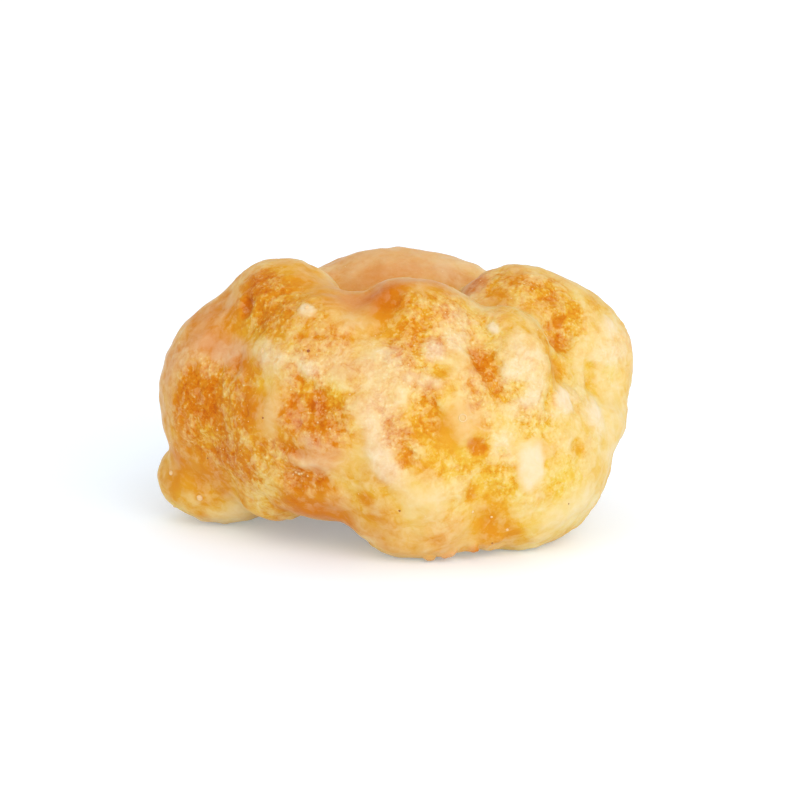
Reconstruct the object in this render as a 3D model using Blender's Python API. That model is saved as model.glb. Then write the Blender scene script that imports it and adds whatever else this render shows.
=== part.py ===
"""A glazed ring cruller: a rope of dough, twisted, joined into a ring and fried, so that it puffs into lobes.

Metres, +Z up. The origin is on the surface that it rests on, under the middle of its outline.
The side that is looked at most faces -Y. Angles round the ring are 0 at +X and 90 at +Y.
"""

import math
from typing import NamedTuple

import bmesh
import bpy
from mathutils import Matrix, Vector

MM = 0.001

# The ring
RING_AXIS = (0.2 * MM, -0.75 * MM)  # a little off the middle of the outline, as the lobes are uneven
ROPE_RADIUS = 23 * MM  # from the ring's axis to the middle of the rope
ROPE_HEIGHT = 23 * MM  # of the middle of the rope above the table
CORE_HALF_WIDTH = 13.5 * MM
CORE_HALF_HEIGHT = 17.5 * MM
CORE_STEPS = (64, 24)  # round the ring, round the rope

# How the lobes run together into one skin
SKIN_GRID = 0.7 * MM
SKIN_SOFTENING = 40  # smoothing passes over that grid
SKIN_SHARE = 0.075  # of that grid's faces which are kept
LOBE_DETAIL = 4  # of the spheres that the lobes start from

# The cutter for the flat feet
TABLE_SIDE = 200 * MM
TABLE_THICKNESS = 20 * MM


class Lobe(NamedTuple):
    """One puffed lobe. Places and half sizes are in mm, in the ring's own directions."""

    name: str
    angle: float  # degrees round the ring
    reach: float  # from the ring's axis to its middle
    height: float  # of its middle above the table
    along: float  # half its size along the ring
    outward: float
    upward: float
    slant: float = 0.0  # degrees that the rope's twist leans its top to the left, seen from outside


LOBES = (
    Lobe("left_peak", 198, 20.6, 37.4, 15.5, 11.2, 11.4),
    Lobe("left_cheek", 187, 24.7, 23.3, 17, 17.5, 19.5),
    Lobe("left_shoulder", 235, 21, 29.6, 15.5, 14, 16.5),
    Lobe("left_foot", 180, 30.2, 8, 12, 12.9, 8.3),
    Lobe("front_belly", 276, 22, 18.3, 15.5, 16, 20, slant=14),
    Lobe("front_crown", 278, 17.6, 36.2, 14, 12, 11.4),
    Lobe("front_ridge", 312, 27.5, 27, 9, 10.5, 16.5, slant=-4),
    Lobe("right_crown", 352, 21.6, 31.6, 14, 15, 15.6),
    Lobe("right_cheek", 356, 25.6, 29, 14, 17, 15.5),
    Lobe("right_fold", 345, 32.7, 20.5, 12, 9, 7),
    Lobe("right_belly", 326, 26, 15.6, 19, 15.3, 17.1),
    Lobe("back_dome", 88, 22, 30, 23, 14, 15.5),
    Lobe("back_belly", 96, 24.5, 16, 17, 15, 17, slant=14),
    Lobe("back_ridge", 66, 28.5, 22, 7, 9.5, 16, slant=10),
    Lobe("back_left", 141, 25.5, 25, 13, 13, 18, slant=10),
    Lobe("back_foot", 128, 30, 9, 13, 9, 9.5),
    Lobe("back_right", 36, 25.5, 22, 13, 13.5, 19.5, slant=10),
)


def directions_at(angle):
    """The ring's outward, along and upward directions at an angle round it."""
    turn = math.radians(angle)
    out = Vector((math.cos(turn), math.sin(turn), 0))
    along = Vector((-math.sin(turn), math.cos(turn), 0))
    return out, along, Vector((0, 0, 1))


def add_core(dough):
    """The plain middle of the rope, which holds the lobes together as a ring round the hole."""
    rings = []
    for step in range(CORE_STEPS[0]):
        out, _, up = directions_at(360 * step / CORE_STEPS[0])
        ring = []
        for turn in range(CORE_STEPS[1]):
            angle = 2 * math.pi * turn / CORE_STEPS[1]
            reach = ROPE_RADIUS + CORE_HALF_WIDTH * math.cos(angle)
            height = ROPE_HEIGHT + CORE_HALF_HEIGHT * math.sin(angle)
            ring.append(dough.verts.new(out * reach + up * height))
        rings.append(ring)
    for ring, following in zip(rings, rings[1:] + rings[:1]):
        for corner in range(CORE_STEPS[1]):
            after = (corner + 1) % CORE_STEPS[1]
            dough.faces.new((ring[corner], following[corner], following[after], ring[after]))


def add_lobe(dough, lobe):
    """A puffed lobe as an ellipsoid, set square to the ring and then slanted."""
    out, along, up = directions_at(lobe.angle)
    middle = (out * lobe.reach + up * lobe.height) * MM
    sizes = Matrix.Diagonal((lobe.along, lobe.outward, lobe.upward)) * MM
    ring_axes = Matrix((along, out, up)).transposed()
    twist = Matrix.Rotation(math.radians(lobe.slant), 3, out)
    place = Matrix.Translation(middle) @ (twist @ ring_axes @ sizes).to_4x4()
    bmesh.ops.create_icosphere(dough, subdivisions=LOBE_DETAIL, radius=1, matrix=place)


def table_cutter():
    """The flat surface that presses the ring's feet flat."""
    block = bmesh.new()
    middle = Matrix.Translation((0, 0, -TABLE_THICKNESS / 2))
    size = Matrix.Diagonal((TABLE_SIDE, TABLE_SIDE, TABLE_THICKNESS, 1))
    bmesh.ops.create_cube(block, size=1, matrix=middle @ size)
    mesh = bpy.data.meshes.new("table_cutter")
    block.to_mesh(mesh)
    block.free()
    cutter = bpy.data.objects.new("table_cutter", mesh)
    bpy.context.scene.collection.objects.link(cutter)
    cutter.hide_render = True
    cutter.display_type = "WIRE"
    return cutter


def crust_material():
    """Fried golden crust under a thin sugar glaze."""
    material = bpy.data.materials.new("glazed_crust")
    material.use_nodes = True
    shader = material.node_tree.nodes["Principled BSDF"]
    shader.inputs["Base Color"].default_value = (0.80, 0.46, 0.16, 1)
    shader.inputs["Roughness"].default_value = 0.42
    shader.inputs["Metallic"].default_value = 0.0
    return material


def make_cruller():
    """Runs the rope's middle and its lobes together into one skin, softens it and thins out its faces."""
    dough = bmesh.new()
    add_core(dough)
    for lobe in LOBES:
        add_lobe(dough, lobe)
    bmesh.ops.translate(dough, verts=dough.verts, vec=(*RING_AXIS, 0))
    bmesh.ops.recalc_face_normals(dough, faces=dough.faces)
    mesh = bpy.data.meshes.new("cruller")
    dough.to_mesh(mesh)
    dough.free()
    mesh.materials.append(crust_material())
    cruller = bpy.data.objects.new("cruller", mesh)
    bpy.context.scene.collection.objects.link(cruller)
    join = cruller.modifiers.new("join_lobes", "REMESH")
    join.mode = "VOXEL"
    join.voxel_size = SKIN_GRID
    join.use_smooth_shade = True
    soften = cruller.modifiers.new("soften_creases", "SMOOTH")
    soften.factor = 0.5
    soften.iterations = SKIN_SOFTENING
    thin = cruller.modifiers.new("thin_out_faces", "DECIMATE")
    thin.ratio = SKIN_SHARE
    return cruller


def main():
    """Builds the cruller and presses it flat where it stands."""
    for old in list(bpy.data.objects):
        bpy.data.objects.remove(old, do_unlink=True)
    cruller = make_cruller()
    rest = cruller.modifiers.new("flat_feet", "BOOLEAN")
    rest.operation = "DIFFERENCE"
    rest.object = table_cutter()


main()
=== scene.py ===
"""The looks of a glazed ring cruller: its skin, glaze and crumbs, with the floor, lights and camera."""

import math
import random
from typing import NamedTuple

import bmesh
import bpy
import numpy as np
from mathutils import Matrix, Vector, noise
from mathutils.bvhtree import BVHTree


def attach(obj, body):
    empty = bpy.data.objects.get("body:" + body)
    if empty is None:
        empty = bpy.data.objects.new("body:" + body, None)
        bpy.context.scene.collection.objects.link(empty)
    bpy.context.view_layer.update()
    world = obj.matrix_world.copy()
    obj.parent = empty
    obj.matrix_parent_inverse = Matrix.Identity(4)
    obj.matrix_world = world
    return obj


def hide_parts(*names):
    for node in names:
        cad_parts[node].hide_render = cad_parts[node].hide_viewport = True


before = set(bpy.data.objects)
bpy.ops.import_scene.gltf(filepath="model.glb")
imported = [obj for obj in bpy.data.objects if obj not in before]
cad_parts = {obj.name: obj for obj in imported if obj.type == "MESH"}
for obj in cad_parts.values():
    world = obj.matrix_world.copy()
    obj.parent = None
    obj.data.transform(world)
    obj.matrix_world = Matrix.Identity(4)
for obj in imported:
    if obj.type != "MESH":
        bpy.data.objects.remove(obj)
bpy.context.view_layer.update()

MM = 0.001

# The ring, as the solid is built: its axis, and the circle in the middle of its rope of dough
RING_AXIS = Vector((0.2 * MM, -0.75 * MM, 0))
RING_RADIUS = 23 * MM
RING_HEIGHT = 23 * MM

# The skin's grid
GRID = 0.53 * MM
GRID_SOFTENING = 32  # rounds of smoothing
WELD = 0.001 * MM  # points closer than this are one

# The skin before its marks
BARE_MILK = 0.09
BARE_BAKE = 0.38
BARE_ROUGH = 0.35

# One wave of the skin's soft swellings, in mm
WIDE_WAVE = 13
MIDDLING_WAVE = 6
SMALL_WAVE = 2.6

CRUMB_HEIGHT = 0.36  # mm, of the roughest skin


class Mark(NamedTuple):
    """One patch of the skin, placed by its angles round the ring and round the rope.

    Round the ring, 0 is at +X and 90 at +Y. Round the rope, 0 faces out, 90 up and 180 the hole.
    """

    name: str
    ring: float  # degrees
    rope: float  # degrees
    tall: float  # mm, half its size round the rope
    broad: float  # mm, half its size along the ring
    lean: float = 0.0  # degrees that its top leans along the ring, towards the viewer's right at the front
    lift: float = 0.0  # mm that the skin stands out there, or sinks in
    milk: float = 0.0  # how much whiter and thicker the glaze is; on the painted-lighter soles this is painted light
    bake: float = 0.0  # how much browner the crust is; in the shaded marks this is painted shade, and on the painted-lighter soles its negative values are painted light
    rough: float = 0.0  # how much crumblier
    edge: float = 0.8  # how far its edge fades, as a share of its size


MARKS = (
    # wide changes over the whole ring
    Mark("left side", 205, 15, 30, 22, bake=0.04, milk=-0.08, rough=0.25),
    Mark("milky front", 268, 20, 26, 16, milk=0.06),
    Mark("yellow lower right", 316, -28, 20, 22, bake=-0.14, milk=0.06),
    Mark("pale back", 60, 10, 34, 40, bake=-0.10, milk=0.02),
    Mark("golden back", 140, 0, 26, 40, bake=-0.06),
    Mark("inner wall", 90, 180, 180, 40, bake=0.05),
    Mark("milky right side", 332, 8, 24, 18, bake=-0.08, milk=0.16),
    Mark("smooth outer left", 192, 38, 20, 9, bake=0.14, milk=0.08, rough=-0.5),
    # left peak and shoulder
    Mark("pit in the left peak", 211, 70, 1.3, 1.6, lift=-0.9, bake=0.60, milk=-0.45, edge=0.4),
    Mark("brown top of the left peak", 209, 81, 2.6, 3.6, bake=0.30, milk=-0.34, rough=0.4),
    Mark("golden left peak", 224, 82, 5.0, 7.5, milk=-0.35, rough=0.5),
    Mark("speckled left peak", 221, 74, 3.0, 4.5, bake=0.13, milk=-0.32, rough=0.8),
    Mark("paler patch on the peak", 223, 63, 2.4, 2.6, bake=-0.12, milk=0.06),
    Mark(
        "white blob on the left peak", 238, 75, 1.2, 1.7,
        lift=0.45, bake=-0.12, milk=0.72, rough=-0.8, edge=0.35,
    ),
    Mark("golden patch on the cheek", 207, 61, 3.2, 3.2, bake=0.02, milk=-0.30, rough=0.3),
    Mark("pale streak across the shoulder", 228, 52, 2.0, 5.5, lean=8, lift=0.3, milk=0.24, bake=-0.05),
    Mark("tan shoulder, outside", 199, 58, 4.5, 5.0, bake=0.24, milk=-0.20, rough=-0.3),
    Mark("peach band on the cheek", 212, 47, 2.4, 7.0, bake=0.34, milk=0.28, rough=-0.6),
    Mark("tan dab on the cheek", 205, 38, 2.2, 2.4, bake=0.12, milk=-0.06),
    Mark("tan outer cheek", 196, 27, 4.0, 4.0, bake=0.22),
    Mark(
        "smooth slope to the front crown", 236, 98, 5.0, 8.0,
        lift=-0.2, bake=0.15, milk=0.0, rough=-0.9,
    ),
    Mark(
        "smooth saddle by the front crown", 254, 90, 4.0, 5.0,
        lift=-0.7, bake=0.12, milk=-0.06, rough=-0.9,
    ),
    Mark("orange side of the front crown", 263, 91, 2.4, 3.0, bake=0.20, milk=-0.20),
    Mark("pale slope under the shoulder", 238, 46, 2.6, 6.0, lean=6, milk=0.18, rough=0.1),
    Mark("creamy dab over the hollow", 244, 38, 2.6, 3.2, bake=-0.13, milk=0.26),
    Mark("pale slope, outside", 227, 44, 3.2, 3.0, bake=-0.20, milk=0.24),
    Mark("pale top of that slope", 222, 48, 1.8, 2.0, bake=-0.14),
    Mark("shoulder between the streaks", 240, 64, 4.5, 7.0, bake=0.04, milk=0.12, rough=0.35),
    Mark("golden slope before the crown", 256, 71, 2.8, 3.0, bake=0.08, milk=-0.04),
    Mark("pale dab on the shoulder", 248, 55, 2.0, 2.4, milk=0.20, bake=-0.04),
    # left cheek
    Mark("brown notch on the cheek", 216, 41, 2.2, 1.4, lift=-0.5, milk=-0.28, rough=0.5),
    Mark("orange cheek", 223, 27, 5.5, 3.6, lean=-12, lift=-0.4, bake=0.24, milk=-0.42),
    Mark("rough outer cheek", 206, 21, 4.0, 4.5, bake=0.02, milk=-0.29, rough=0.9),
    Mark("rough lower cheek", 210, 0, 6.0, 6.5, lean=20, lift=-0.2, bake=0.29, milk=-0.53, rough=0.9),
    Mark("pale chip on the cheek", 208, -14, 2.0, 3.2, bake=-0.24, milk=0.20, rough=0.4),
    Mark("smooth front of the cheek", 231, 8, 6.0, 3.0, bake=0.05, milk=0.28, rough=-0.7),
    Mark("golden slope under the lip", 251, -8, 4.4, 3.4, bake=0.28, rough=-0.1),
    Mark("pale patch beside the foot", 233, -39, 3.0, 3.6, bake=-0.06, milk=0.16, rough=-0.4),
    Mark("creamy slope over the hollow", 251, 45, 3.0, 3.0, milk=0.12),
    # the rough hollow between the shoulder and the belly
    Mark("rough hollow", 246, 24, 4.4, 5.0, lift=-0.8, bake=0.22, milk=-0.60, rough=1.0, edge=0.6),
    Mark("left end of the hollow", 241, 15, 2.6, 2.2, bake=0.26, milk=-0.30, rough=0.5),
    Mark("right end of the hollow", 253, 30, 3.0, 2.6, bake=-0.14),
    Mark("paler crumbs under the hollow", 248, 10, 1.4, 1.4, bake=-0.16),
    Mark("orange dab on the cheek", 223, 8, 2.4, 2.4, bake=0.10, milk=-0.10),
    Mark("hollow's deepest part", 248, 24, 2.2, 1.3, lift=-0.3, bake=0.49, milk=-0.24),
    Mark("pit under the hollow", 242, 10, 0.9, 0.9, lift=-0.4, bake=0.66, milk=-0.40, edge=0.5),
    Mark("speckled tail of the hollow", 253, 6, 3.4, 3.4, bake=0.07, milk=-0.20, rough=1.0),
    Mark("pale lip under the hollow", 246, 1, 1.6, 4.0, lean=12, lift=0.4, milk=0.36),
    Mark("speckled fold", 235, -15, 2.2, 4.4, lift=-0.4, bake=0.10, milk=-0.28, rough=1.0),
    Mark("brown end of the fold", 241, -12, 1.1, 2.6, lift=-0.6, bake=0.30, milk=-0.36),
    Mark("pink smooth patch", 243, -21, 2.2, 4.2, lift=0.3, bake=0.07, milk=0.46, rough=-0.8),
    Mark("rough crevice", 244, -33, 2.2, 4.4, lift=-1.1, bake=0.30, milk=-0.50, rough=1.0, edge=0.6),
    Mark("orange slope over the arch", 241, -47, 3.0, 5.0, bake=0.24, milk=-0.42, rough=0.3),
    Mark("underside of the arch", 243, -68, 4.0, 7.0, bake=0.46, milk=-0.58, rough=-0.3),
    Mark("fibres by the foot", 218, -33, 3.0, 7.0, bake=0.22, milk=-0.16, rough=0.8),
    Mark(
        "crease over the foot", 206, -22, 1.6, 8.0,
        lean=-10, lift=-0.60, bake=-0.01, milk=0.08, rough=0.3,
    ),
    # left foot
    Mark("golden foot", 192, -38, 6.0, 9, bake=0.17, milk=-0.40, rough=-0.4),
    Mark("pale rim of the foot", 184, -42, 3.0, 6.0, bake=-0.14, milk=0.16),
    Mark("golden back of the foot", 205, -52, 4.0, 5.0, bake=0.14, milk=-0.24, rough=0.1),
    Mark("pale sole of the foot", 196, -68, 2.4, 5.0, bake=-0.12, milk=0.14),
    Mark("pale edge of the foot", 188, -52, 3.0, 7.0, bake=-0.16, milk=0.16),
    # painted light: the foot's underside is made paler to stand for light reaching it from below
    Mark("sole of the foot, painted lighter", 200, -78, 6.0, 6, bake=-0.10, milk=0.22, rough=-0.5),
    Mark("filled end of the foot", 213, -78, 5.0, 4.5, lift=2.4, bake=0.07),
    # front crown
    Mark(
        "brown hollow of the crown", 267, 81, 3.4, 2.6,
        lean=-6, lift=-0.8, bake=0.22, milk=-0.60, edge=0.6,
    ),
    Mark("brown top of the hollow", 270, 92, 1.8, 2.2, bake=-0.04, milk=-0.18),
    Mark("golden top of the crown", 281, 85, 3.4, 7.0, bake=0.11, milk=-0.40, rough=0.3),
    Mark("smooth rim of the crown", 278, 98, 2.6, 9.0, bake=0.28, milk=-0.02, rough=-0.9),
    # painted shade: these two slopes are browner where the gap between the crown and the dome lies in
    # shadow
    Mark("shaded slope behind the crown", 344, 114, 3.0, 4.0, bake=0.44, rough=-0.4),
    Mark("shaded slope beside it", 330, 109, 2.4, 3.4, bake=0.26, milk=-0.12),
    Mark("brown back of the hollow", 266, 89, 2.4, 2.2, bake=0.20, milk=-0.10),
    Mark("brown rim behind the crown", 258, 98, 2.4, 4.0, bake=0.16, milk=-0.06),
    Mark("orange dab under the crown", 283, 63, 1.4, 1.6, bake=0.24, milk=-0.20),
    Mark("speckled dips in the crown", 276, 71, 2.0, 2.4, lift=-0.4, bake=0.10, milk=-0.36, rough=0.9),
    Mark("small dip in the crown", 280, 75, 1.1, 1.2, lift=-0.5, bake=0.06, milk=-0.25, edge=0.5),
    Mark("creamy rough crown", 292, 74, 3.6, 4.2, lift=0.3, bake=-0.02, milk=0.38, rough=0.7),
    Mark("white dab under the crown", 282, 61, 1.8, 1.6, lift=0.4, bake=0.05, milk=0.64, edge=0.6),
    Mark("speckled front", 274, 63, 4.0, 4.5, bake=0.08, milk=-0.12, rough=0.8),
    Mark("yellow dip", 283, 49, 1.5, 1.6, lift=-0.4, bake=0.13, milk=-0.40, edge=0.5),
    Mark("pale front below the crown", 290, 54, 3.6, 2.8, lift=0.3, bake=0.05, milk=0.16, rough=-0.3),
    Mark("creamy upper front", 264, 47, 5.6, 4.2, lift=0.25, milk=0.35, rough=0.4),
    Mark("creamy dab over the gully", 276, 41, 2.0, 2.6, bake=-0.10, milk=0.40),
    Mark("creamy skin beside the dip", 282, 42, 2.0, 2.4, milk=0.10),
    Mark("pink streak on the shoulder", 246, 43, 0.9, 3.4, lean=40, lift=0.35, milk=0.22),
    # middle of the front
    Mark(
        "orange gully", 278, 24, 4.2, 2.6,
        lean=-20, lift=-0.8, bake=0.20, milk=-0.56, rough=0.9, edge=0.6,
    ),
    Mark(
        "smooth end of the gully", 280, 10, 2.6, 2.2,
        lean=-10, lift=-0.6, bake=0.05, milk=-0.36, rough=-0.2,
    ),
    Mark("rough middle", 271, 1, 3.4, 2.4, lift=-0.3, bake=0.25, milk=-0.22, rough=0.9),
    Mark("spot under the middle", 273, -10, 1.3, 1.4, lift=-0.4, bake=0.20, milk=-0.50, edge=0.5),
    Mark("pale rough middle", 267, 17, 4.2, 2.6, bake=0.08, milk=0.20, rough=0.8),
    Mark(
        "white ridge, top", 265, -6, 4.6, 1.8,
        lean=-16, lift=0.35, bake=0.02, milk=0.42, rough=0.1, edge=1.0,
    ),
    Mark(
        "white ridge, middle", 269, -20, 4.4, 1.8,
        lean=-34, lift=0.35, bake=0.10, milk=0.36, rough=-0.1, edge=1.0,
    ),
    Mark("white ridge, end", 277, -37, 5.0, 3.2, lean=-24, lift=0.3, bake=-0.14, milk=0.28, rough=-0.5),
    Mark("yellow belly", 259, -20, 6.5, 4.2, bake=-0.05, rough=-0.3),
    Mark("clear glaze patch", 287, 12, 4.0, 3.5, lift=0.35, bake=0.18, milk=0.05, rough=-1.0, edge=0.5),
    Mark("amber beside the clear patch", 295, 5, 2.2, 1.8, bake=0.20, milk=-0.24, rough=0.4),
    Mark("golden skin below the middle", 279, -18, 3.0, 3.0, bake=0.06, milk=-0.22),
    Mark("golden skin over the sole", 293, -48, 3.5, 4.5, bake=0.05, milk=-0.12),
    Mark(
        "brown edge of the clear patch", 292, -6, 1.4, 2.2,
        lean=30, lift=-0.5, bake=0.50, milk=-0.50, edge=0.5,
    ),
    Mark(
        "orange edge of the clear patch", 287, -12, 0.9, 2.4,
        lean=60, lift=-0.4, bake=0.08, milk=-0.50, edge=0.5,
    ),
    Mark("creamy dab on the belly", 283, -25, 2.0, 2.8, lift=0.4, bake=-0.12, milk=0.24, rough=0.2),
    Mark("amber spot, right of the belly", 295, -33, 1.9, 1.9, lift=-0.3, bake=0.05, milk=-0.42),
    Mark("amber spot, below", 291, -38, 1.3, 1.1, lift=-0.3, bake=0.27, milk=-0.50),
    Mark("amber spot on the belly", 261, -40, 1.5, 1.5, bake=0.28, milk=-0.30),
    Mark("orange spot by the sole", 263, -51, 1.1, 1.6, bake=0.08, milk=-0.30),
    Mark("peach sole of the belly", 276, -66, 5.0, 16.0, bake=0.12, rough=-0.6),
    Mark("drip, left", 281, -74, 0.9, 1.0, lift=0.8, bake=0.22, milk=0.1, edge=0.5),
    Mark("drip, middle", 287, -72, 0.9, 1.2, lift=0.8, bake=0.22, milk=0.1, edge=0.5),
    Mark("drip, right", 295, -70, 0.9, 1.1, lift=0.8, bake=0.27, milk=-0.10, edge=0.5),
    Mark("filled groove under the belly", 299, -70, 3.6, 3.2, lift=1.8, bake=0.16, milk=-0.09),
    Mark("orange sole, right", 300, -56, 2.4, 3.4, bake=0.17, milk=-0.24),
    Mark("orange sole, far right", 306, -54, 1.6, 2.8, bake=0.11, milk=-0.44),
    # valley and ridge on the front right
    Mark("valley, top", 303, 68, 3.0, 1.6, lift=-0.6, bake=-0.04, milk=-0.32, rough=0.5),
    Mark(
        "valley, middle", 298, 50, 5.6, 2.0,
        lean=-8, lift=-1.1, bake=0.42, milk=-0.60, rough=0.6, edge=0.6,
    ),
    Mark("valley, end", 292, 34, 3.4, 1.8, lift=-0.6, bake=0.32, milk=-0.22, rough=0.7),
    Mark("white chip by the valley", 304, 69, 1.2, 0.8, lift=0.5, bake=-0.38, milk=0.92, edge=0.4),
    Mark("creamy front ridge", 306, 40, 5.0, 4.0, lift=0.4, bake=-0.12, milk=0.52, rough=0.3),
    Mark("creamy top of the ridge", 307, 62, 2.6, 2.4, milk=0.22, bake=-0.06),
    Mark("creamy edge of the ridge", 302, 34, 2.0, 1.6, milk=0.14, bake=-0.12),
    Mark(
        "amber dips in the ridge", 304, 29, 1.6, 2.6,
        lift=-0.5, bake=0.06, milk=-0.52, rough=0.8, edge=0.5,
    ),
    Mark("yellow grains under the ridge", 308, 6, 2.2, 3.6, bake=0.06, milk=-0.30, rough=1.0),
    Mark("creamy foot of the ridge", 311, 18, 3.0, 4.0, bake=-0.02, milk=0.30, rough=0.3),
    Mark("amber spot by the ridge", 314, 21, 1.6, 1.6, lift=-0.4, bake=0.05, milk=-0.50),
    # big white patch and what lies round it
    Mark("big white patch", 306, -19, 3.6, 2.3, lean=14, lift=0.45, milk=0.80, rough=-1.0, edge=0.4),
    Mark("creamy skin beside the patch", 309, -34, 3.0, 3.0, milk=0.30),
    Mark(
        "white patch's upper corner", 309, -10, 1.6, 2.0,
        lean=40, lift=0.3, bake=0.15, rough=-0.8, edge=0.5,
    ),
    Mark("creamy ring beside the patch", 299, -9, 2.8, 2.6, lift=0.3, bake=-0.12, milk=0.44, rough=0.4),
    Mark(
        "yellow middle of that ring", 299, -9, 0.8, 0.9,
        lift=-0.4, bake=-0.1, milk=-0.16, rough=0.8, edge=0.4,
    ),
    Mark("amber under the white patch", 300, -30, 2.0, 3.0, bake=0.05, milk=-0.40, rough=0.5),
    Mark("golden belly, middle", 304, -36, 5.0, 7.0, bake=0.04, milk=-0.22, rough=0.2),
    Mark("golden belly, left", 288, -14, 4.0, 4.5, bake=-0.03, milk=-0.26, rough=0.2),
    Mark("yellow belly, right", 315, -26, 3.4, 4.2, bake=-0.14, milk=-0.26, rough=0.3),
    Mark("amber dip, right", 320, -10, 1.5, 1.3, lift=-0.5, bake=0.15, milk=-0.50, edge=0.5),
    # painted light: the underside on the right is made paler to stand for light reaching it from the floor
    Mark("right sole, painted lighter", 322, -46, 4.0, 8.0, bake=-0.28, milk=0.24, rough=-0.3),
    Mark("orange right edge", 336, -24, 4.5, 2.0, bake=-0.08, milk=0.16, rough=-0.3),
    # right crown and cheek
    Mark("speckled right crown", 331, 97, 2.6, 4.0, lift=-0.3, bake=0.17, milk=-0.36, rough=0.8),
    Mark("smooth band before the crown", 322, 96, 2.0, 5.5, bake=0.15, milk=0.04, rough=-0.9),
    Mark("golden right crown", 334, 80, 4.5, 5.0, bake=0.14, milk=-0.26, rough=0.3),
    Mark("orange dab on the crown", 342, 62, 1.4, 2.0, bake=0.14, milk=-0.40, rough=0.5),
    Mark("small pits in the crown", 338, 73, 1.3, 1.3, lift=-0.4, bake=0.22, milk=-0.40, rough=0.6),
    Mark("orange dab, outer crown", 350, 56, 1.4, 1.4, bake=0.10, milk=-0.50),
    Mark(
        "second valley, top", 331, 59, 3.0, 2.8,
        lean=-10, lift=-1.1, bake=0.38, milk=-0.65, rough=0.2, edge=0.6,
    ),
    Mark("second valley, rust", 335, 56, 2.0, 2.4, lift=-0.4, bake=0.10, milk=-0.35, rough=0.7),
    Mark("golden near side of that valley", 317, 51, 1.8, 1.8, bake=0.16, milk=-0.30, rough=0.2),
    Mark(
        "second valley, bottom", 322, 37, 3.2, 2.8,
        lean=-25, lift=-1.0, bake=0.32, milk=-0.60, edge=0.6,
    ),
    Mark(
        "white flake", 320, 17, 2.2, 2.2,
        lean=-20, lift=0.6, bake=0.05, milk=0.66, rough=-0.2, edge=0.35,
    ),
    Mark("pale arm of the flake", 325, 22, 1.2, 2.4, lean=50, lift=0.4, bake=-0.04, milk=0.25, edge=0.4),
    Mark("amber slit", 337, 25, 3.0, 1.1, lift=-0.6, bake=0.10, milk=-0.62, edge=0.5),
    Mark("yellow dip, outer cheek", 344, 22, 1.8, 2.0, lift=-0.4, bake=-0.12, milk=-0.29, edge=0.5),
    Mark("creamy right edge", 346, 31, 4.0, 5.0, milk=0.34),
    Mark("golden shoulder, right", 343, 44, 3.0, 3.0, milk=-0.12, bake=0.04),
    Mark("pale dab on the cheek", 348, 45, 1.8, 1.6, lift=0.3, bake=-0.20, milk=0.68),
    Mark("pale dab under the cheek", 330, 2, 2.2, 2.2, lift=0.4, bake=-0.15, milk=0.64),
    # far lobe, seen over the near rim
    Mark("smooth dome", 88, 98, 11.0, 19.0, bake=0.24, milk=0.18, rough=-0.9),
    Mark("pale smear on the dome", 112, 104, 1.2, 2.6, milk=0.10),
    Mark("tan end of the dome", 118, 98, 6.0, 5.0, bake=0.03),
    Mark("pale end of the dome", 63, 95, 5.0, 5.0, bake=-0.06, milk=0.14),
    Mark("shaded foot of the dome", 100, 117, 3.0, 12.0, bake=0.16, milk=-0.08, rough=-0.6),
    Mark("shaded end of the dome", 53, 103, 2.4, 4.0, bake=0.12),
)

# Marks on the sides away from the viewer, in the same kinds
HIDDEN_MARKS = 210
HIDDEN_KINDS = {
    "rough": {"lift": -0.4, "bake": 0.14, "milk": -0.32, "rough": 0.9},
    "white": {"lift": 0.35, "milk": 0.38, "rough": -0.3, "edge": 0.7},
    "smooth": {"lift": 0.1, "bake": 0.08, "milk": 0.15, "rough": -0.9},
    "amber": {"lift": -0.4, "bake": 0.05, "milk": -0.42, "edge": 0.8},
    "golden": {"bake": 0.06, "milk": -0.3, "rough": 0.3},
}
HIDDEN_ODDS = ("rough", "rough", "white", "smooth", "amber", "golden")
HIDDEN_RING = (6, 176)  # degrees
HIDDEN_ROPE = (-80, 175)  # degrees
DOME_RING = (40, 140)  # degrees, where the smooth dome at the back is
DOME_ROPE = (72, 130)
SEED = 11

# Floor and light
FLOOR_REACH = 4  # m
ROOM_LIGHT = 0.82
SUNS = (  # name, strength, softness in degrees, and where it stands
    ("soft_key", 1.5, 50, (0.40, -0.78, 0.48)),
    ("low_fill", 0.45, 60, (-0.50, -0.86, 0.0)),
)

# How the camera stands
VIEW_UP = math.radians(12.95)
VIEW_DISTANCE = 595 * MM
VIEW_TARGET = Vector((0.9 * MM, 0, 21.8 * MM))
VIEW_LENS = 150  # mm


# ---- places on the ring ----

def rope_axes(ring, rope):
    """A point in the middle of the rope, and the outward direction there at an angle round the rope."""
    turn = math.radians(ring)
    out = Vector((math.cos(turn), math.sin(turn), 0))
    middle = RING_AXIS + out * RING_RADIUS + Vector((0, 0, RING_HEIGHT))
    lift = math.radians(rope)
    return middle, out * math.cos(lift) + Vector((0, 0, math.sin(lift)))


def mark_axes(mark):
    """A mark's own directions on the skin: along its height, along its breadth and outwards."""
    turn = math.radians(mark.ring)
    along = Vector((-math.sin(turn), math.cos(turn), 0))
    _, outwards = rope_axes(mark.ring, mark.rope)
    up = outwards.cross(along)
    lean = math.radians(mark.lean)
    tall = up * math.cos(lean) + along * math.sin(lean)
    return tall, outwards.cross(tall), outwards


class Skin:
    """A skin as a tree, for finding the points on it."""

    def __init__(self, mesh_object):
        graph = bpy.context.evaluated_depsgraph_get()
        self.tree = BVHTree.FromObject(mesh_object, graph)

    def point(self, ring, rope):
        """The skin's point and normal, from the middle of the rope outwards."""
        middle, direction = rope_axes(ring, rope)
        place, normal, _, _ = self.tree.ray_cast(middle, direction)
        return place, normal


# ---- the fine skin ----

def link(name, mesh):
    piece = bpy.data.objects.new(name, mesh)
    bpy.context.scene.collection.objects.link(piece)
    return piece


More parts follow.
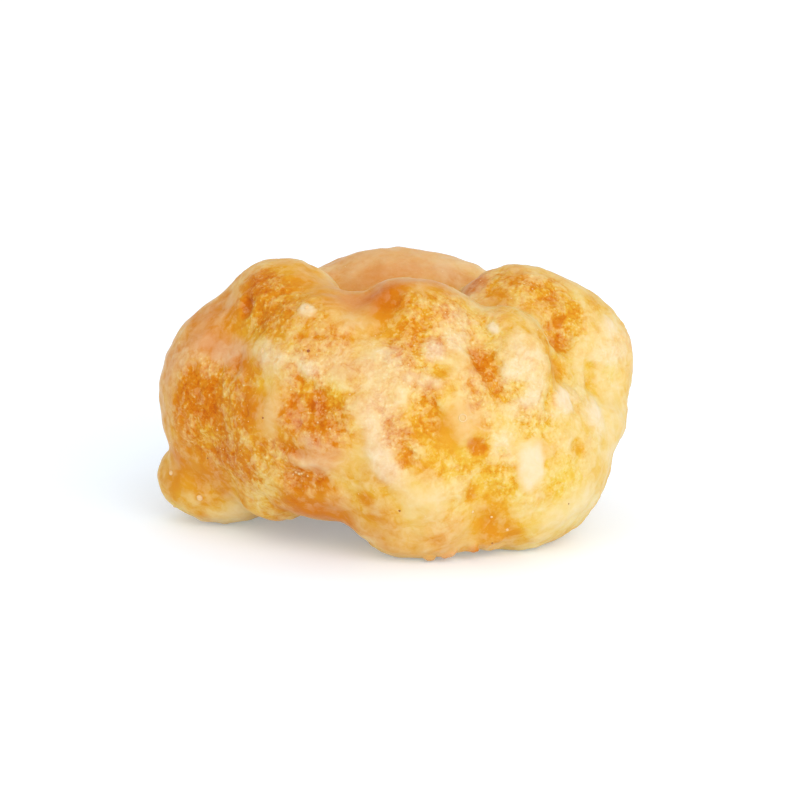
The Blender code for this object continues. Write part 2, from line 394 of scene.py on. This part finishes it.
def merged_copy(node):
    """A CAD node's mesh with its loose triangles joined."""
    mesh = node.data.copy()
    work = bmesh.new()
    work.from_mesh(mesh)
    bmesh.ops.remove_doubles(work, verts=work.verts, dist=WELD)
    work.to_mesh(mesh)
    work.free()
    return mesh


def finished_mesh(piece):
    """The piece's mesh with its modifiers done, and the modifiers gone."""
    graph = bpy.context.evaluated_depsgraph_get()
    mesh = bpy.data.meshes.new_from_object(piece.evaluated_get(graph))
    piece.modifiers.clear()
    piece.data = mesh
    return mesh


def fine_skin(node):
    """The CAD skin on a fine even grid, with the facets' edges smoothed away."""
    piece = link("glazed_skin", merged_copy(node))
    grid = piece.modifiers.new("even_grid", "REMESH")
    grid.mode = "VOXEL"
    grid.voxel_size = GRID
    soften = piece.modifiers.new("soften_facets", "SMOOTH")
    soften.factor = 0.5
    soften.iterations = GRID_SOFTENING
    finished_mesh(piece)
    return piece


def smooth_step(values):
    share = np.clip(values, 0, 1)
    return share * share * (3 - 2 * share)


def soft_limit(values):
    """Values near the middle unchanged, and the rest eased in between 0 and 1."""
    return 0.5 + 0.5 * np.tanh((values - 0.5) * 2)


def sample(places, wave, shift=0.0, octaves=1):
    """Soft noise between -1 and 1 at each place, with one wave in so many millimetres."""
    scale = 1 / (wave * MM)
    move = Vector((shift, 2 * shift, -shift))
    found = []
    for place in places:
        value = 0.0
        size = 1.0
        spot = Vector(place) * scale + move
        for _ in range(octaves):
            value += size * noise.noise(spot)
            spot *= 2.1
            size *= 0.5
        found.append(value)
    return np.array(found)


def lumps(places, wave):
    """Rounded crumbs packed side by side: 1 on each crumb's middle, 0 between crumbs."""
    scale = 1 / (wave * MM)
    found = []
    for place in places:
        distances, _ = noise.voronoi(Vector(place) * scale)
        found.append(1 - min(1, distances[0] * 1.4) ** 2)
    return np.array(found)


def warp(places, wave, reach):
    """The places moved about by soft noise, so that marks get uneven edges."""
    scale = 1 / (wave * MM)
    moved = [Vector(place) + noise.noise_vector(Vector(place) * scale) * reach for place in places]
    return np.array(moved)


def mark_share(mark, centre, places):
    """How much of a mark each place has, from 1 in its middle to 0 outside."""
    tall, broad, outwards = mark_axes(mark)
    gap = places - np.array(centre)
    reach = np.sqrt(
        (gap @ np.array(tall) / (mark.tall * MM)) ** 2
        + (gap @ np.array(broad) / (mark.broad * MM)) ** 2
        + (gap @ np.array(outwards) / (2 * max(mark.tall, mark.broad) * MM)) ** 2
    )
    return smooth_step((1 + mark.edge - reach) / (2 * mark.edge))


def hidden_marks():
    """Marks of the same kinds on the sides away from the viewer."""
    chance = random.Random(SEED)
    marks = []
    for number in range(HIDDEN_MARKS):
        ring = chance.uniform(*HIDDEN_RING)
        rope = chance.uniform(*HIDDEN_ROPE)
        tall = chance.uniform(1.2, 4.2)
        broad = tall * chance.uniform(0.6, 1.8)
        lean = chance.uniform(-40, 40)
        kind = chance.choice(HIDDEN_ODDS)
        if DOME_RING[0] < ring < DOME_RING[1] and DOME_ROPE[0] < rope < DOME_ROPE[1]:
            continue  # the dome stays smooth
        marks.append(Mark(f"hidden {kind} {number}", ring, rope, tall, broad, lean, **HIDDEN_KINDS[kind]))
    return marks


def read_points(mesh):
    places = np.empty(len(mesh.vertices) * 3)
    mesh.vertices.foreach_get("co", places)
    return places.reshape(-1, 3)


def push_out(mesh, places, amount):
    """Moves each place along its normal."""
    normals = np.empty(len(mesh.vertices) * 3)
    mesh.vertex_normals.foreach_get("vector", normals)
    places = places + normals.reshape(-1, 3) * amount[:, None] * MM
    places[:, 2] = np.maximum(places[:, 2], 0)
    mesh.vertices.foreach_set("co", places.ravel())
    mesh.update()
    return places


def add_values(mesh, name, values):
    layer = mesh.attributes.new(name, "FLOAT", "POINT")
    layer.data.foreach_set("value", values.astype(np.float32))


def finish_skin(piece, skin):
    """Gives the skin its swellings, hollows and crumbs, and the values that its material reads."""
    mesh = piece.data
    places = read_points(mesh)
    wide = sample(places, WIDE_WAVE, 3)
    middling = sample(places, MIDDLING_WAVE, 7, octaves=2)
    small = sample(places, SMALL_WAVE, 5, octaves=2)
    moved = warp(warp(places, 5, 0.5 * MM), 2.0, 0.7 * MM)

    lift = 0.45 * wide + 0.40 * middling + 0.10 * small
    milk = np.full(len(places), BARE_MILK)
    bake = np.full(len(places), BARE_BAKE)
    rough = BARE_ROUGH + 0.5 * sample(places, 8, 23)
    for mark in MARKS + tuple(hidden_marks()):
        centre, _ = skin.point(mark.ring, mark.rope)
        share = mark_share(mark, centre, moved)
        lift += mark.lift * share
        milk += mark.milk * share
        bake += mark.bake * share
        rough += mark.rough * share
    calm = np.clip(0.2 - rough, 0, 1)
    lively = 1 - 0.8 * calm
    milk += (0.15 * wide + 0.15 * middling + 0.10 * small) * lively
    bake -= (0.10 * wide + 0.14 * sample(places, 5, 19, octaves=2)) * lively
    rough = np.clip(rough, 0, 1)
    places = push_out(mesh, places, lift)
    stirred = warp(places, 1.6, 0.5 * MM)
    crumbs = lumps(stirred, 1.7) * 0.6 + lumps(stirred, 1.05) * 0.4
    crumbs += 0.5 * sample(places, 1.3, 31, octaves=2)
    push_out(mesh, places, rough * (crumbs - 0.4) * CRUMB_HEIGHT)

    add_values(mesh, "milk", soft_limit(milk))
    add_values(mesh, "bake", soft_limit(bake))
    add_values(mesh, "rough", rough)
    add_values(mesh, "crumb", crumbs)
    add_values(mesh, "calm", calm)
    mesh.shade_smooth()


# ---- small things on the skin ----

class Bit(NamedTuple):
    """A small lump on the skin: a drop of glaze, a sugar crystal or grain, a speck or a bubble's lip."""

    ring: float  # degrees
    rope: float  # degrees
    broad: float  # mm, its radius
    high: float  # mm, how far it stands up


BEADS = (
    # on the front
    Bit(190, -36, 0.46, 0.34), Bit(197, -51, 0.56, 0.34), Bit(184, -50, 0.32, 0.20),
    Bit(238, 75, 0.45, 0.25), Bit(227, 52, 0.45, 0.22),
    Bit(292, -48, 0.24, 0.18), Bit(298, -51, 0.22, 0.16), Bit(303, -55, 0.26, 0.18),
    # on the back
    Bit(120, 20, 0.30, 0.16), Bit(70, -10, 0.34, 0.18), Bit(30, 35, 0.32, 0.16),
    Bit(150, 55, 0.28, 0.16), Bit(95, 40, 0.34, 0.18), Bit(170, -20, 0.30, 0.16),
)
CRYSTALS = (
    Bit(240, -32, 0.24, 0.24), Bit(241, -33, 0.32, 0.30), Bit(242, -32, 0.22, 0.22),
    Bit(244, -33, 0.20, 0.20), Bit(239, -34, 0.18, 0.18), Bit(212, -8, 0.20, 0.16),
    Bit(222, 30, 0.18, 0.16), Bit(248, 12, 0.20, 0.18), Bit(252, 8, 0.22, 0.18),
    Bit(276, 66, 0.20, 0.18), Bit(270, 60, 0.18, 0.16), Bit(300, 40, 0.20, 0.18),
)
SPECKS = (
    # on the front
    Bit(243, 56, 0.30, 0.10), Bit(231, 10, 0.20, 0.08), Bit(271, -42, 0.20, 0.08),
    Bit(300, -63, 0.18, 0.08), Bit(205, -31, 0.15, 0.08), Bit(318, -38, 0.14, 0.06),
    # on the back
    Bit(25, 20, 0.26, 0.08), Bit(80, 30, 0.30, 0.10), Bit(140, 5, 0.22, 0.08), Bit(165, 50, 0.25, 0.08),
)
BUBBLE = Bit(288, 16, 0.62, 0.10)  # a burst bubble's thin round lip
GRAINS = 240
LOWEST_BIT = 1.2 * MM  # nothing sits nearer the floor


def scattered_grains():
    """Sugar grains all over the skin, each in a place of its own."""
    chance = random.Random(SEED + 1)
    grains = []
    for _ in range(GRAINS):
        size = chance.uniform(0.07, 0.16)
        grains.append(Bit(chance.uniform(0, 360), chance.uniform(-75, 230), size, size * 0.8))
    return grains


def standing_on(place, normal, broad, high):
    """The scale and place of a lump of radius 1, half sunk into the skin."""
    turn = normal.to_track_quat("Z", "Y").to_matrix().to_4x4()
    return Matrix.Translation(place) @ turn @ Matrix.Diagonal((broad * MM, broad * MM, high * MM, 1))


def make_bits(name, bits, skin, material, facets):
    """All the lumps of one kind, as one piece."""
    work = bmesh.new()
    for bit in bits:
        place, normal = skin.point(bit.ring, bit.rope)
        if place.z < LOWEST_BIT:
            continue
        where = standing_on(place, normal, bit.broad, bit.high)
        bmesh.ops.create_icosphere(work, subdivisions=facets, radius=1, matrix=where)
    return finish_bits(name, work, material)


def make_bubble(skin, material):
    """The lip of a burst bubble in the clear glaze."""
    place, normal = skin.point(BUBBLE.ring, BUBBLE.rope)
    side = normal.orthogonal().normalized()
    turn = normal.cross(side).to_track_quat("Z", "Y").to_matrix().to_4x4()
    work = bmesh.new()
    edge = Matrix.Translation(place + side * BUBBLE.broad * MM) @ turn
    bmesh.ops.create_circle(work, segments=8, radius=BUBBLE.high * MM, matrix=edge)
    bmesh.ops.spin(
        work, geom=list(work.verts) + list(work.edges), cent=place, axis=normal,
        angle=2 * math.pi, steps=28, use_merge=True,
    )
    bmesh.ops.remove_doubles(work, verts=work.verts, dist=WELD)
    bmesh.ops.recalc_face_normals(work, faces=work.faces)
    return finish_bits("bubble_lip", work, material)


def finish_bits(name, work, material):
    mesh = bpy.data.meshes.new(name)
    work.to_mesh(mesh)
    work.free()
    mesh.materials.append(material)
    return link(name, mesh)


# ---- materials ----

class Value:
    """A number that changes over a surface, so that sums on it are written as plain Python."""

    def __init__(self, finish, socket):
        self.finish = finish
        self.socket = socket

    def __add__(self, other):
        return self.finish.maths("ADD", self, other)

    def __radd__(self, other):
        return self.finish.maths("ADD", other, self)

    def __sub__(self, other):
        return self.finish.maths("SUBTRACT", self, other)

    def __rsub__(self, other):
        return self.finish.maths("SUBTRACT", other, self)

    def __mul__(self, other):
        return self.finish.maths("MULTIPLY", self, other)

    def __rmul__(self, other):
        return self.finish.maths("MULTIPLY", other, self)


class Finish:
    """One material and the nodes in it."""

    def __init__(self, name):
        self.material = bpy.data.materials.new(name)
        self.material.use_nodes = True
        self.tree = self.material.node_tree
        self.surface = self.tree.nodes["Principled BSDF"]

    def node(self, kind, settings, sockets, output=0):
        """A node with its settings made first, then the values or links of its sockets."""
        made = self.tree.nodes.new(kind)
        for name, setting in settings.items():
            if name == "stops":
                self.set_stops(made.color_ramp, setting)
            else:
                setattr(made, name, setting)
        for name, value in sockets.items():
            self.put(made.inputs[name], value)
        return Value(self, made.outputs[output])

    def put(self, socket, value):
        if isinstance(value, Value):
            self.tree.links.new(value.socket, socket)
        else:
            socket.default_value = value

    def set_stops(self, ramp, stops):
        while len(ramp.elements) < len(stops):
            ramp.elements.new(1)
        for element, (position, colour) in zip(ramp.elements, stops):
            element.position = position
            element.color = (*colour, 1)

    def maths(self, operation, first, second):
        return self.node("ShaderNodeMath", {"operation": operation}, {0: first, 1: second})

    def clamp(self, value):
        return self.node("ShaderNodeClamp", {}, {0: value})

    def between(self, value, low, high):
        """0 below low and 1 above high, with a soft change."""
        settings = {"interpolation_type": "SMOOTHSTEP"}
        return self.node("ShaderNodeMapRange", settings, {0: value, 1: low, 2: high})

    def blend(self, share, first, second):
        return self.node("ShaderNodeMix", {"data_type": "RGBA"}, {0: share, 6: first, 7: second}, output=2)

    def places(self):
        return self.node("ShaderNodeTexCoord", {}, {}, output="Object")

    def stored(self, name):
        return self.node("ShaderNodeAttribute", {"attribute_name": name}, {}, output="Fac")

    def noise(self, places, wave, detail=3.0, roughness=0.55, distortion=0.0):
        """Noise with one wave in so many millimetres."""
        sockets = {
            "Vector": places, "Scale": 1 / (wave * MM), "Detail": detail,
            "Roughness": roughness, "Distortion": distortion,
        }
        return self.node("ShaderNodeTexNoise", {}, sockets)

    def ramp(self, value, stops):
        return self.node("ShaderNodeValToRGB", {"stops": stops}, {0: value})

    def set(self, **sockets):
        for name, value in sockets.items():
            self.put(self.surface.inputs[name.replace("_", " ")], value)


CRUST_COLOURS = (
    (0.0, (0.71, 0.54, 0.125)),
    (0.25, (0.695, 0.435, 0.055)),
    (0.45, (0.655, 0.315, 0.020)),
    (0.65, (0.60, 0.215, 0.009)),
    (0.85, (0.57, 0.165, 0.004)),
    (1.0, (0.50, 0.112, 0.002)),
)
CREAM = (0.77, 0.63, 0.43, 1)


def crust_finish():
    """Fried crust under a sugar glaze that is clear where it is thin and white where it is thick, with
    painted shade in the crevices between crumbs and painted highlights on them.
    """
    finish = Finish("glazed_crust")
    places = finish.places()
    flat = finish.node("ShaderNodeVectorMath", {"operation": "MULTIPLY"}, {0: places, 1: (1.0, 1.0, 1.4)})
    milk = finish.stored("milk")
    bake = finish.stored("bake")
    rough = finish.stored("rough")
    crumb = finish.stored("crumb")
    lively = 1 - finish.stored("calm") * 0.7
    clouds = finish.noise(places, 7.0, detail=4, roughness=0.55, distortion=0.6)
    streaks = finish.noise(flat, 3.6, detail=4, roughness=0.55, distortion=0.8)
    curls = finish.between(finish.noise(places, 2.6, detail=3, roughness=0.5, distortion=1.0), 0.42, 0.58)
    grains = finish.noise(places, 0.9, detail=2, roughness=0.6)
    fine = finish.noise(places, 0.42, detail=2)
    # broken dark lines between crumbs, painted shade in the crevices
    web = finish.noise(places, 1.7, detail=3, roughness=0.65, distortion=0.8)
    lines = 1 - finish.between(finish.maths("ABSOLUTE", web - 0.5, 0), 0.0, 0.05)
    lines = lines * finish.between(clouds + (fine - 0.5) * 0.5, 0.62, 0.42)
    # small crumbs, browner towards their edges as painted shade in the crevices, with a painted highlight
    # as a pale glint in the middle of some
    cells = finish.node("ShaderNodeTexVoronoi", {}, {"Vector": places, "Scale": 1 / (0.85 * MM)})
    glints = finish.between(cells - (fine - 0.5) * 0.5, 0.26, 0.12)

    # how white the glaze looks, with painted light on the soles and painted highlights on crumbs
    cover_and_light = milk + ((clouds - 0.5) * 0.72 + (streaks - 0.5) * 0.66) * lively * (1 - rough * 0.45)
    cover_and_light = cover_and_light + (curls - 0.5) * (rough * 0.05 + 0.12) * lively
    cover_and_light = cover_and_light + (grains - 0.5) * (rough * 0.10 + 0.10)
    cover_and_light = cover_and_light + (fine - 0.5) * (rough * 0.22 + 0.08)
    # painted highlights: the pale glints on crumbs; the dark lines take away glaze as painted shade in the
    # crevices
    cover_and_light = cover_and_light + (crumb - 0.45) * rough * 0.12 + glints * (rough * 0.16 + 0.02) - lines * rough * 0.08
    # how brown the crust under it is, with painted shade in the shaded marks and in the crevices between
    # crumbs
    wild = lively * (1 + rough)
    brown = bake - ((clouds - 0.5) * 0.26 + (streaks - 0.5) * 0.28) * wild
    brown = brown - (curls - 0.5) * (rough * 0.08 + 0.02) * lively
    brown = brown - (grains - 0.5) * (rough * 0.18 + 0.04)
    brown = brown - (fine - 0.5) * (rough * 0.24 + 0.03)
    # painted shade in the crevices between crumbs, by the dark lines here and by browner crumb edges on
    # the next line
    brown = brown - (crumb - 0.45) * rough * 0.15 + lines * (rough * 0.14 + 0.02)
    brown = brown + (cells - 0.45) * rough * 0.36
    crust = finish.ramp(brown, CRUST_COLOURS)
    colour = finish.blend(finish.clamp(cover_and_light), crust, CREAM)

    height = (grains * 0.7 + fine * 0.3 - lines * 0.2 - cells * 0.5) * (rough + 0.1)
    height = height + clouds * 0.4 + streaks * 0.35
    bump = finish.node("ShaderNodeBump", {}, {"Strength": 0.6, "Distance": 0.22 * MM, "Height": height})
    finish.set(
        Base_Color=colour,
        Roughness=finish.clamp(0.32 + rough * 0.25 + (fine - 0.5) * 0.2),
        Normal=bump,
        IOR=1.25,
        Specular_IOR_Level=0.1,
        Subsurface_Weight=0.2,
        Subsurface_Radius=(1.0, 0.5, 0.22),
        Subsurface_Scale=0.7 * MM,
        Coat_Weight=0.04,
        Coat_Roughness=0.12,
        Sheen_Weight=0.05,
        Sheen_Roughness=0.4,
        Sheen_Tint=(1.0, 0.94, 0.82, 1),
    )
    return finish.material


def glaze_finish():
    """Thick creamy sugar glaze, for the drops, crystals and grains."""
    finish = Finish("thick_glaze")
    clouds = finish.noise(finish.places(), 0.5, detail=3)
    finish.set(
        Base_Color=finish.blend(clouds, (0.71, 0.42, 0.15, 1), (0.78, 0.58, 0.32, 1)),
        Roughness=0.28,
        Subsurface_Weight=0.3,
        Subsurface_Radius=(1.0, 0.6, 0.3),
        Subsurface_Scale=0.6 * MM,
        Coat_Weight=0.1,
        Coat_Roughness=0.1,
    )
    return finish.material


def speck_finish():
    """Burnt crumbs of crust."""
    finish = Finish("burnt_speck")
    clouds = finish.noise(finish.places(), 0.3, detail=2)
    colour = finish.blend(clouds, (0.22, 0.05, 0.008, 1), (0.40, 0.12, 0.02, 1))
    finish.set(Base_Color=colour, Roughness=0.7)
    return finish.material


# ---- floor, light and camera ----

def make_floor():
    grid = bmesh.new()
    bmesh.ops.create_grid(grid, x_segments=1, y_segments=1, size=FLOOR_REACH)
    mesh = bpy.data.meshes.new("floor")
    grid.to_mesh(mesh)
    grid.free()
    floor = link("floor", mesh)
    finish = Finish("pale_floor")
    finish.set(
        Base_Color=(0.84, 0.87, 0.90, 1),
        Roughness=0.8,
        Emission_Color=(0.66, 0.83, 1.0, 1),
        Emission_Strength=0.26,
    )
    mesh.materials.append(finish.material)


def make_light():
    world = bpy.data.worlds.new("white_room")
    bpy.context.scene.world = world
    world.use_nodes = True
    room = world.node_tree.nodes["Background"]
    room.inputs["Color"].default_value = (1, 1, 1, 1)
    room.inputs["Strength"].default_value = ROOM_LIGHT
    for sun in SUNS:
        add_sun(*sun)


def add_sun(name, strength, softness, towards):
    lamp = bpy.data.lights.new(name, "SUN")
    lamp.energy = strength
    lamp.angle = math.radians(softness)
    sun = bpy.data.objects.new(name, lamp)
    bpy.context.scene.collection.objects.link(sun)
    sun.rotation_mode = "QUATERNION"
    sun.rotation_quaternion = Vector(towards).to_track_quat("Z", "Y")


def make_camera():
    data = bpy.data.cameras.new("camera")
    data.lens = VIEW_LENS
    camera = bpy.data.objects.new("camera", data)
    bpy.context.scene.collection.objects.link(camera)
    back = Vector((0, -math.cos(VIEW_UP), math.sin(VIEW_UP)))
    camera.location = VIEW_TARGET + back * VIEW_DISTANCE
    camera.rotation_mode = "QUATERNION"
    camera.rotation_quaternion = back.to_track_quat("Z", "Y")
    bpy.context.scene.camera = camera


def main():
    noise.seed_set(SEED)
    bpy.context.scene.view_settings.view_transform = "Standard"
    make_floor()
    make_light()
    make_camera()
    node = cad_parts["cruller"]
    crust = fine_skin(node)
    finish_skin(crust, Skin(node))
    crust.data.materials.clear()
    crust.data.materials.append(crust_finish())
    skin = Skin(crust)
    glaze = glaze_finish()
    pieces = (
        crust,
        make_bits("glaze_drops", BEADS, skin, glaze, facets=3),
        make_bits("sugar_crystals", CRYSTALS, skin, glaze, facets=1),
        make_bits("sugar_grains", scattered_grains(), skin, glaze, facets=1),
        make_bits("burnt_specks", SPECKS, skin, speck_finish(), facets=2),
        make_bubble(skin, glaze),
    )
    for piece in pieces:
        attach(piece, "root")
        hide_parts("cruller")


main()
